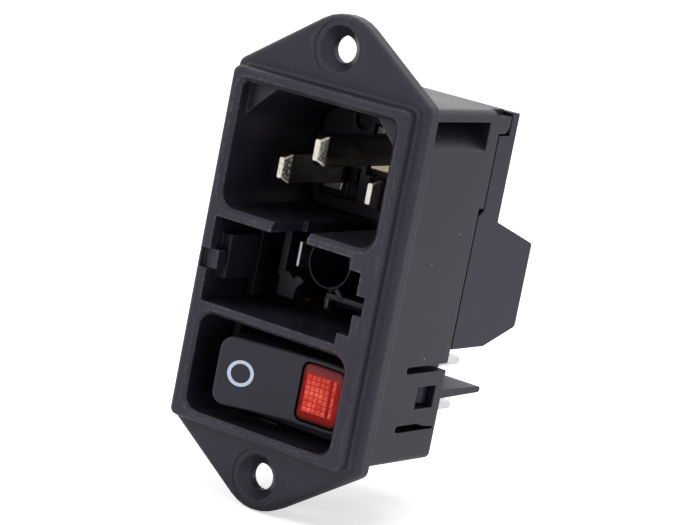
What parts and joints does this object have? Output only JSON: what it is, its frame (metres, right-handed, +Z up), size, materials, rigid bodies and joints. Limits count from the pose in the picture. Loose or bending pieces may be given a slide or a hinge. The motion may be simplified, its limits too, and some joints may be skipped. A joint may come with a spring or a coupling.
{
  "type": "ac power connector",
  "caption": "Panel-mount mains inlet module with three flat blades, an open fuse drawer bay, a lit double-pole rocker switch, screw ears and a hooded back.",
  "frame": {"origin": "middle of the panel cut-out, on the back face of the mounting flange", "axes": "+X right seen from the front, +Y back through the panel, +Z up along the flange's length; the bezel faces -Y"},
  "size_m": [0.03, 0.0368, 0.065],
  "materials": {
    "black_plastic": "moulded black thermoplastic with a fine satin texture",
    "switch_plastic": "moulded black thermoplastic, slightly smoother",
    "rocker_plastic": "dark grey satin plastic",
    "red_lens": "clear red prismatic plastic",
    "nickel": "nickel-plated brass, polished",
    "tin": "tin-plated brass strip",
    "copper": "copper alloy strip",
    "steel": "spring steel wire",
    "lamp_glass": "small glass glow lamp",
    "resistor": "lacquered resistor body"
  },
  "bodies": {
    "housing": {"front_housing": "black_plastic", "rear_cover": "black_plastic", "pin_carrier": "black_plastic", "fuse_carrier": "black_plastic", "switch_housing": "switch_plastic", "line_blade": "nickel", "neutral_blade": "nickel", "earth_blade": "nickel", "fuse_side_contact": "copper", "fuse_end_contact": "copper", "line_link": "copper", "neutral_link": "copper", "input_contact_upper": "copper", "input_contact_lower": "copper", "output_terminal_upper": "tin", "output_terminal_lower": "tin"},
    "rocker_body": {"rocker": "rocker_plastic", "rocker_lens": "red_lens", "neon_lamp": "lamp_glass", "lamp_resistor": "resistor"},
    "plunger_body_upper": {"plunger_upper": "nickel", "plunger_spring_upper": "steel"},
    "plunger_body_lower": {"plunger_lower": "nickel", "plunger_spring_lower": "steel"},
    "arm_upper": {"contact_arm_upper": "copper"},
    "arm_lower": {"contact_arm_lower": "copper"}
  },
  "joints": [
    {"name": "rocker_tilt", "type": "hinge", "parent": "housing", "child": "rocker_body", "pos_m": [0, 0.0049, -0.01537], "axis": [0, 0, -1], "range_deg": [0, 24]},
    {"name": "plunger_upper_slide", "type": "slide", "parent": "rocker_body", "child": "plunger_body_upper", "axis": [0.2079, -0.9781, 0], "range_m": [0, 0.0006], "stiffness_N_per_m": 200, "springref_m": -0.002},
    {"name": "plunger_lower_slide", "type": "slide", "parent": "rocker_body", "child": "plunger_body_lower", "axis": [0.2079, -0.9781, 0], "range_m": [0, 0.0006], "stiffness_N_per_m": 200, "springref_m": -0.002},
    {"name": "arm_upper_tilt", "type": "hinge", "parent": "housing", "child": "arm_upper", "pos_m": [0, 0.0133, -0.01537], "axis": [0, 0, 1], "range_deg": [0, 16]},
    {"name": "arm_lower_tilt", "type": "hinge", "parent": "housing", "child": "arm_lower", "pos_m": [0, 0.0133, -0.01537], "axis": [0, 0, 1], "range_deg": [0, 16]}
  ],
  "couplings": [
    {"joint": "arm_upper_tilt", "follows": "rocker_tilt", "ratio": 0.66667},
    {"joint": "arm_lower_tilt", "follows": "rocker_tilt", "ratio": 0.66667}
  ]
}
